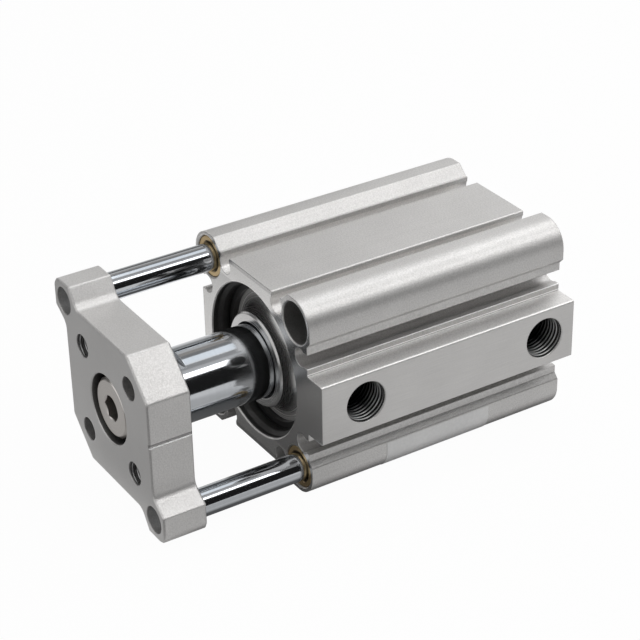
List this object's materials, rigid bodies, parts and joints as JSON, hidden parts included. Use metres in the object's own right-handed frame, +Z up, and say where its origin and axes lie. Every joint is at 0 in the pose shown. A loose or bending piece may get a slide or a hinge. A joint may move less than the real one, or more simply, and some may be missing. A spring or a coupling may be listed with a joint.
{
  "type": "guided pneumatic cylinder",
  "caption": "Compact double-acting air cylinder with a square grooved body, a piston rod and two diagonal guide rods that carry a bolted tool plate.",
  "frame": {"origin": "centre of the rear mounting face, on the rod axis", "axes": "+Y out of the rear face along the rod axis, so the rod comes out towards -Y; +X towards the port face; +Z up"},
  "size_m": [0.0492, 0.0967, 0.045],
  "materials": {
    "body_aluminium": "satin anodised, fine blasted grain",
    "plate_aluminium": "satin anodised, fine blasted grain",
    "head_aluminium": "turned",
    "hard_chrome": "polished hard chrome",
    "bearing_bronze": "plain, oil filled",
    "black_rubber": "matt",
    "bumper_rubber": "matt",
    "spring_steel": "black phosphated",
    "screw_steel": "nickel plated",
    "magnet": "bonded magnet, matt"
  },
  "bodies": {
    "cylinder_body": {"barrel": "body_aluminium", "rod_cover": "head_aluminium", "rod_bush": "bearing_bronze", "rod_seal": "black_rubber", "retaining_ring": "spring_steel", "rod_cover_o_ring": "black_rubber", "guide_bush_upper_front": "bearing_bronze", "guide_bush_upper_rear": "bearing_bronze", "guide_bush_lower_front": "bearing_bronze", "guide_bush_lower_rear": "bearing_bronze"},
    "slider": {"piston_rod": "hard_chrome", "piston": "head_aluminium", "piston_seal": "black_rubber", "magnet_ring": "magnet", "piston_gasket": "black_rubber", "bumper_front": "bumper_rubber", "bumper_rear": "bumper_rubber", "front_plate": "plate_aluminium", "plate_screw": "screw_steel", "guide_rod_upper": "hard_chrome", "guide_rod_lower": "hard_chrome"}
  },
  "joints": [
    {"name": "rod_slide", "type": "slide", "parent": "cylinder_body", "child": "slider", "axis": [0, -1, 0], "range_m": [-0.017, 0.013]}
  ]
}
